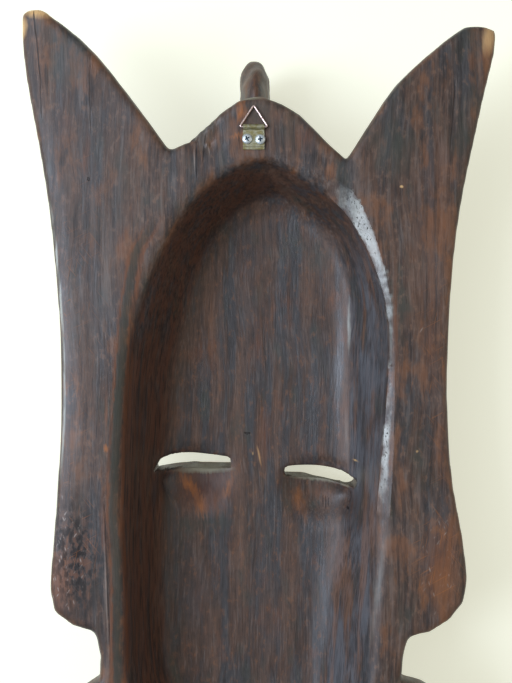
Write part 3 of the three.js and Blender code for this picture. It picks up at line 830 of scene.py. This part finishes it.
def makeMask(material):
    work = mergedSolid(nodes["mask"])
    bevelLines, surface, isBevel = wornBevel(work)
    closeSlits(work)
    mesh = fineSkin(work)
    points = vertexArray(mesh)
    net = netOf(mesh)
    print("mask skinned:", len(points), "points")

    held = pullToLines(points, bevelLines, carving["edgeReach"])
    free = (~held).astype(float)
    print("bevel lines:", len(bevelLines), "points held:", int(held.sum()))

    # the face's small forms keep their edges, the rest is smoothed further
    smooth(points, net, free, carving["ornamentRounds"])
    normals = movePoints(mesh, points)
    ornament = (points[:, 2] < 70) & (normals[:, 2] < 0.2)
    smooth(points, net, free * ~ornament, carving["rounds"] - carving["ornamentRounds"])
    normals = movePoints(mesh, points)

    # the hollow's folds melt away, more on its left than on its right
    x, y, z = points.T
    toMiddle = np.array(carving["middle"]) - points[:, :2]
    facesIn = (normals[:, 2] > 0.8) | (np.einsum("ij,ij->i", toMiddle, normals[:, :2]) > 0)
    inHollow = facesIn * (normals[:, 2] > -0.05) * (np.abs(x) < 88) * (y < 172) * ramp(z, 94.6, 91)
    steep = ramp(normals[:, 2], 0.88, 0.62) * ramp(z, 94, 88)
    # concave folds on the hollow's left, for a painted shade
    crease = ramp(-bendOf(points, normals, net), 0.02, 0.12) * inHollow
    crease = blurred(crease, net, 1) * ramp(x, 30, -10)
    softness = blurred(inHollow.astype(float), net, 2) * (0.3 + 0.7 * ramp(x, 35, -5))
    smooth(points, net, softness * free, carving["softRounds"], (0.5,))
    leftRim = ramp(np.abs(z - 93), 6, 3) * facesIn * (np.abs(x) < 92) * (y < 172) * ramp(x, 30, 0)
    smooth(points, net, leftRim * free, carving["rimRounds"], (0.5,))
    pocket = np.zeros(len(points))
    for px, py, halfX, halfY in carving["pockets"]:
        near = ramp(np.hypot((x - px) / halfX, (y - py) / halfY), 1, 0.6)
        pocket = np.maximum(pocket, near * (normals[:, 2] > 0))
    pocket = blurred(pocket, net, 4)
    smooth(points, net, pocket, carving["pocketRounds"], (0.5,))
    normals = movePoints(mesh, points)
    x, y, z = points.T
    strip, stripEnd = stripAcross(points, normals)
    points[:, 2] -= ramp(strip, 0, 1) * stripEnd * carving["stripDrop"]
    edgeIn = np.where(x < -60, np.clip(fromLeftEdge(points), -10, 20), 20)
    falling = (1 - ramp(edgeIn, 0, carving["edgeFall"][0])) * ramp(z, 84, 92)
    points[:, 2] -= falling * carving["edgeFall"][1]

    # edges, for the worn colour, and hollows, for painted shade and painted sheen
    ridge = ramp(blurred(bendOf(points, normals, net), net, 2), 0.06, 0.34)
    wall = blurred(inHollow * steep, net, 1) * (1 - pocket)
    # the left wall faces away from the light: it gets a painted shade
    recess = wall * ramp(x, 40, -10)
    # the right wall faces the light: it gets dust and a painted sheen
    cool = wall * ramp(x, 10, 45) * ramp(y, 150, 90)
    polishAndSheen = np.zeros(len(points))
    for i in np.flatnonzero((z > 80) & (x > 5) & (x < carving["rimHalf"] + 3)):
        place, _, face, distance = surface.find_nearest(points[i])
        if distance < carving["bevelReach"] and isBevel[face]:
            polishAndSheen[i] = 1
            points[i] = place
    normals = movePoints(mesh, points)
    still = np.maximum(held, polishAndSheen)
    # the bevel, for its low roughness and its painted sheen
    polishAndSheen = blurred(polishAndSheen, net, 2) * ramp(y, -50, 0) * ramp(x, 38, 66)
    polishAndSheen *= np.minimum(ramp(z, 94.5, 93.3) + ramp(y, 62, 92), 1)

    # hand carving: waves, gouge strokes, ripples, facets on the crown's left slope and the comb's end
    waves = noiseOver(points, carving["waverSize"]) * carving["waver"]
    waves += noiseOver(points, carving["fluteSize"], 3.7) * carving["flute"]
    waves += noiseOver(points, carving["rippleSize"], 7.3) * carving["ripple"]
    crown = ramp(np.hypot((x + 31) / 17, (y - 192) / 15), 1.0, 0.5)
    waves -= crown * np.abs(noiseOver(points, carving["chiselSize"], 3.1)) * carving["chisel"]
    knob = ramp(y, 222, 232) * ramp(np.abs(x), 16, 13) * ramp(z, 30, 40)
    waves -= knob * np.abs(noiseOver(points, carving["knobSize"], 5.2)) * carving["knob"]
    waves *= (1 - still) * ramp(z, 0.05, 3)  # the bevel and the flat spots it lies on stay flat
    front = ramp(-normals[:, 2], -0.1, 0.25)
    waves -= front * frontOrnament(points) * carving["grooveDepth"]
    points += normals * waves[:, None]

    low, high = np.array(cadBox[0]) / mm, np.array(cadBox[1]) / mm
    high[2] = shot["backHeight"] / mm + 0.25
    points = np.clip(points, low, high)
    movePoints(mesh, points)
    for name, values in (("ridge", ridge), ("recess", recess), ("cool", cool), ("polishAndSheen", polishAndSheen),
                         ("crease", crease * (1 - pocket)), ("strip", strip), ("stripEnd", stripEnd),
                         ("edgeIn", edgeIn), ("held", held)):
        mesh.attributes.new(name, "FLOAT", "POINT").data.foreach_set("value", values.astype(np.float32))
    print("mask carved")

    for slit in slits["pair"]:
        mesh = cutAway(mesh, slitCutter(slit))
    mesh = cleaned(mesh)
    softenLips(mesh)
    shadeSmooth(mesh, carving["creaseAngle"])
    crisp = readAll(mesh.attributes["held"].data, "value")
    sharp = readAll(mesh.edges, "use_edge_sharp", 1, bool)
    edges = edgeArray(mesh)
    lips = slitLips(vertexArray(mesh))[edges].max(axis=1) > 0
    mesh.edges.foreach_set("use_edge_sharp", (sharp & ~lips) | (crisp[edges].min(axis=1) > 0.9))
    triangles = sum(len(p.vertices) - 2 for p in mesh.polygons)
    print("slits cut:", len(mesh.polygons), "faces,", triangles, "triangles")
    return newPiece("carvedMask", mesh, material, "mask_body", "hardwood", "mask")


makeMask(makeWood())


# Strap hanger: sheet folded round a three-cornered wire ring and held by two cross-head screws
hanger = {
    "x": -2.7,            # mm, middle of the strap and ring
    "hinge": 196.6,       # the line that the ring swings on
    "bottom": 95.3,       # underside of the strap
    "eyeRadius": 1.65,    # outside of the rolled eye
    "sheet": 0.66,
    "width": 13,
    "backLength": 13.6,   # of the layer on the wood, from the hinge line
    "frontLength": 11.9,  # of the layer folded over it
    "top": 96.7,          # of the two layers
    "fold": 0.58,         # inner bend where the eye meets the front layer
    "wire": 0.55,         # radius
    "ringWidth": 17.2,
    "ringLength": 13.3,
    "ringBend": 1.6,      # length of wire taken by each side of a corner
    "ringTilt": 3,        # degrees that the ring droops towards the wood
    "screws": [("screwLeft", "screw_left", -6.7, 189.2, 0.5),  # middle, and turn of the cross
               ("screwRight", "screw_right", 1.3, 188.9, 0.15)],
    "headRadius": 3.1,
    "headHeight": 1.75,
    "shankRadius": 1.3,
    "screwLength": 10,    # below the wood's surface
    "recessLength": 3.6,
    "recessWidth": 0.95,
    "recessDepth": 1.1,
    "holeRoom": 0.2,      # round each shank, in the strap
    "strapCrease": 40,    # degrees: sharper edges than this stay crisp
    "screwCrease": 35,
    "yellowZinc": ("#b0ae94", "#938a5c", "#6d6a45"),    # fresh, dulled, in the rolling lines
    "nickel": ("#f4ddd6", "#c9b3aa"),
    "blueZinc": ("#eef6f6", "#c2d0d2", "#41525d"),      # the last is a painted shade down in the recess
}


# Plating in two tones, the second where the patches are strong
def twoTones(add, first, second, patches, *span):
    return add("Mix", {0: add("MapRange", [patches, *span]), 6: first, 7: fromHex(second)}, 2,
               data_type="RGBA")


# Ends a plated metal: roughness from and to, and height of its fine unevenness in mm
def finishPlating(add, colour, metallic, uneven, rough, strength, height):
    rough = add("MapRange", [uneven, 0.3, 0.7, *rough])
    bump = add("Bump", {"Height": uneven, "Strength": strength, "Distance": height * mm})
    shader = add("BsdfPrincipled", {"Base Color": colour, "Metallic": metallic, "Roughness": rough,
                                    "Normal": bump})
    add("OutputMaterial", {"Surface": shader})


# Plated sheet steel: yellow zinc has gone a patchy olive, and fine rolling lines run across it.
def makeYellowZinc():
    material, add = newMaterial("yellow_zinc_plated_sheet")
    inMm = placeInMm(add)
    patches = add("TexNoise", {"Vector": inMm, "Scale": 0.45, "Detail": 4})
    lines = add("VectorMath", [inMm, (0.25, 6, 2)], operation="MULTIPLY")
    lines = add("TexNoise", {"Vector": lines, "Scale": 1, "Detail": 3})
    fresh, dulled, inLines = hanger["yellowZinc"]
    colour = twoTones(add, fromHex(fresh), dulled, patches, 0.4, 0.62)
    colour = twoTones(add, colour, inLines, lines, 0.45, 0.7, 0, 0.5)
    finishPlating(add, colour, 0.75, lines, (0.36, 0.56), 0.25, 0.08)
    return material


# Drawn wire under bright nickel plate, slightly pink, with a faint unevenness
def makeNickel():
    material, add = newMaterial("nickel_plated_wire")
    inMm = placeInMm(add)
    worn = add("TexNoise", {"Vector": inMm, "Scale": 0.8, "Detail": 4})
    bright, rubbed = hanger["nickel"]
    colour = twoTones(add, fromHex(bright), rubbed, worn, 0.45, 0.65)
    finishPlating(add, colour, 0.85, worn, (0.22, 0.42), 0.15, 0.05)
    return material


# Steel screws under blue-white zinc: bright domes, and a painted shade down in the cross recess
def makeBlueZinc(heads):
    material, add = newMaterial("blue_zinc_plated_steel")
    inMm = placeInMm(add)
    height = add("SeparateXYZ", [inMm], "Z")
    cloud = add("TexNoise", {"Vector": inMm, "Scale": 0.9, "Detail": 4})
    bright, dulled, recessShade = hanger["blueZinc"]
    colour = twoTones(add, fromHex(bright), dulled, cloud, 0.4, 0.65)
    # painted shade: darker near each head's middle, low down in its cross recess
    shade = 0.0
    for x, y in heads:
        across = add("VectorMath", [inMm, (x, y, 0)], operation="SUBTRACT")
        across = add("VectorMath", [across, (1, 1, 0)], operation="MULTIPLY")
        near = add("MapRange", [add("VectorMath", [across], operation="LENGTH"), 2.1, 1.7])
        shade = add("Math", [near, shade], operation="MAXIMUM")
    low = add("MapRange", [height, hanger["bottom"] + 2.9, hanger["bottom"] + 2.5])
    shade = add("Math", [shade, low], operation="MULTIPLY")
    colour = add("Mix", {0: shade, 6: colour, 7: fromHex(recessShade)}, 2, data_type="RGBA")
    finishPlating(add, colour, 0.7, cloud, (0.3, 0.48), 0.2, 0.08)
    return material


def arc(centre, radius, start, end, steps):
    angles = [math.radians(start + (end - start) * i / steps) for i in range(steps + 1)]
    return [(centre[0] + radius * math.cos(a), centre[1] + radius * math.sin(a)) for a in angles]


def roundPillar(x, y, profile, sides):
    turns = [2 * math.pi * i / sides for i in range(sides)]
    return [[(x + r * math.cos(t), y + r * math.sin(t), z) for t in turns] for r, z in profile]


def makeStrap(material):
    h = hanger
    half = h["sheet"] / 2
    roll = h["eyeRadius"] - half
    eyeZ = h["bottom"] + h["eyeRadius"]
    frontZ = h["top"] - half
    foldZ = frontZ + h["fold"]
    # middle line of the sheet, seen from the side: back layer, round the wire, front layer
    line = [(h["hinge"] - h["backLength"], h["bottom"] + half)]
    line += arc((h["hinge"], eyeZ), roll, -90, 180, 36)
    line += arc((h["hinge"] - roll - h["fold"], foldZ), h["fold"], 0, -90, 8)
    line.append((h["hinge"] - h["frontLength"], frontZ))
    left, right = h["x"] - h["width"] / 2, h["x"] + h["width"] / 2
    rings = []
    for i, (y, z) in enumerate(line):
        before, after = line[max(i - 1, 0)], line[min(i + 1, len(line) - 1)]
        along = Vector((after[0] - before[0], after[1] - before[1])).normalized()
        oy, oz = -along.y * half, along.x * half
        rings.append([(left, y + oy, z + oz), (right, y + oy, z + oz),
                      (right, y - oy, z - oz), (left, y - oy, z - oz)])
    mesh = skinRings("hangerStrap", rings)
    for name, node, x, y, turn in h["screws"]:
        radius = h["shankRadius"] + h["holeRoom"]
        hole = roundPillar(x, y, [(radius, h["bottom"] - 1), (radius, h["top"] + 1)], 24)
        mesh = cutAway(mesh, skinRings("hole", hole))
    mesh.name = "hangerStrap"
    shadeSmooth(mesh, h["strapCrease"])
    strap = newPiece("hangerStrap", mesh, material, "mask_body", "strap_zinc", "hanger_plate")
    edge = strap.modifiers.new("sheared edge", "BEVEL")
    edge.width = 0.08 * mm
    edge.segments = 2
    edge.limit_method = "ANGLE"
    edge.angle_limit = math.radians(60)
    return strap


def makeRing(material):
    h = hanger
    half = h["ringWidth"] / 2
    corners = [Vector((half, 0)), Vector((0, h["ringLength"])), Vector((-half, 0))]
    start, end = Vector((0.3, 0)), Vector((-0.3, 0))
    stops = [start]
    for i, corner in enumerate(corners):
        following = corners[i + 1] if i < 2 else end
        before = corner + (stops[-1] - corner).normalized() * h["ringBend"]
        after = corner + (following - corner).normalized() * h["ringBend"]
        for t in (k / 10 for k in range(11)):
            stops.append(before * (1 - t) ** 2 + corner * 2 * t * (1 - t) + after * t ** 2)
    stops.append(end)
    tilt = Matrix.Rotation(math.radians(-h["ringTilt"]), 3, "X")
    centre = Vector((h["x"], h["hinge"], h["bottom"] + h["eyeRadius"]))
    rings = []
    for i, stop in enumerate(stops):
        along = (stops[min(i + 1, len(stops) - 1)] - stops[max(i - 1, 0)]).normalized()
        side = Vector((-along.y, along.x, 0))
        ring = []
        for k in range(16):
            turn = 2 * math.pi * k / 16
            out = side * math.cos(turn) + Vector((0, 0, math.sin(turn)))
            ring.append(centre + tilt @ (stop.to_3d() + out * h["wire"]))
        rings.append(ring)
    mesh = skinRings("hangerRing", rings)
    return newPiece("hangerRing", mesh, material, "ring", "ring_nickel", "hanger_ring")


def makeScrew(material, name, node, x, y, turn):
    h = hanger
    surface = shot["backHeight"] / mm
    under = h["top"] + 0.05
    rim = 0.45  # height of the head's upright edge
    shank, head, tip = h["shankRadius"], h["headRadius"], surface - h["screwLength"]
    profile = [(0.15, tip), (shank, tip + 2 * shank), (shank, under), (head - 0.12, under),
               (head, under + 0.12), (head, under + rim)]
    for i in range(1, 11):
        rise = math.radians(9 * i)
        profile.append((max(head * math.cos(rise) ** 0.7, 0.1),
                        under + rim + (h["headHeight"] - rim) * math.sin(rise)))
    mesh = skinRings(name, roundPillar(x, y, profile, 48))
    top = under + h["headHeight"]
    for angle in (turn, turn + math.pi / 2):
        out = Vector((math.cos(angle), math.sin(angle), 0))
        side = Vector((-out.y, out.x, 0))
        rings = []
        for z, taper in ((top - h["recessDepth"], 0.6), (top + 0.6, 1.2)):
            a, b = out * h["recessLength"] / 2 * taper, side * h["recessWidth"] / 2 * taper
            rings.append([Vector((x, y, z)) + offset for offset in (a + b, b - a, -a - b, a - b)])
        mesh = cutAway(mesh, skinRings("slot", rings))
    mesh.name = name
    shadeSmooth(mesh, h["screwCrease"])
    return newPiece(name, mesh, material, "mask_body", "screw_zinc", node)


makeStrap(makeYellowZinc())
makeRing(makeNickel())
blueZinc = makeBlueZinc([(x, y) for _, _, x, y, _ in hanger["screws"]])
for screw in hanger["screws"]:
    makeScrew(blueZinc, *screw)
print("hanger made")


stageLook = {
    "floor": "#dbdcca",
    "floorHalf": 3.0,
    "floorGlow": 0.75,  # stands for light that comes back from the rest of the room
    "world": "#e6e8ea",
    "worldStrength": 0.3,
}
# name, position, aimed at, width, height, watts, colour
lamps = [
    ("window", (-0.95, 0.0, 1.15), (0.03, 0.06, 0.09), 0.5, 0.9, 15, "#e2ecff"),
    ("sky", (-1.0, 0.75, 1.9), (0, 0.05, 0.05), 1.2, 1.5, 13, "#eaf0ff"),
    ("room", (1.2, 0.1, 1.1), (0, 0.05, 0.05), 1.4, 1.4, 3.2, "#ffe9cc"),
]


def makeStage():
    half = stageLook["floorHalf"]
    mesh = bpy.data.meshes.new("floor")
    corners = [(-half, -half, 0), (half, -half, 0), (half, half, 0), (-half, half, 0)]
    mesh.from_pydata(corners, [], [(0, 1, 2, 3)])
    floor = addObject("floor", mesh)
    # matt painted board: pale and even
    material, add = newMaterial("matt_painted_board")
    paint = fromHex(stageLook["floor"])
    shader = add("BsdfPrincipled", {"Base Color": paint, "Roughness": 0.8, "Emission Color": paint,
                                    "Emission Strength": stageLook["floorGlow"]})
    add("OutputMaterial", {"Surface": shader})
    mesh.materials.append(material)

    world = bpy.data.worlds.new("pale room")
    bpy.context.scene.world = world
    world.use_nodes = True
    world.node_tree.nodes.clear()
    back = addNode(world.node_tree, "Background", {"Color": fromHex(stageLook["world"]),
                                                   "Strength": stageLook["worldStrength"]})
    addNode(world.node_tree, "OutputWorld", {"Surface": back})

    for name, position, target, width, height, watts, colour in lamps:
        data = bpy.data.lights.new(name, "AREA")
        data.shape = "RECTANGLE"
        data.size, data.size_y = width, height
        data.energy = watts
        data.color = fromHex(colour)[:3]
        lamp = addObject(name, data)
        lamp.location = position
        aim = Vector(target) - Vector(position)
        lamp.rotation_euler = aim.to_track_quat("-Z", "Y").to_euler()
    bpy.context.scene.view_settings.view_transform = "Standard"


makeStage()
print("stage lit")
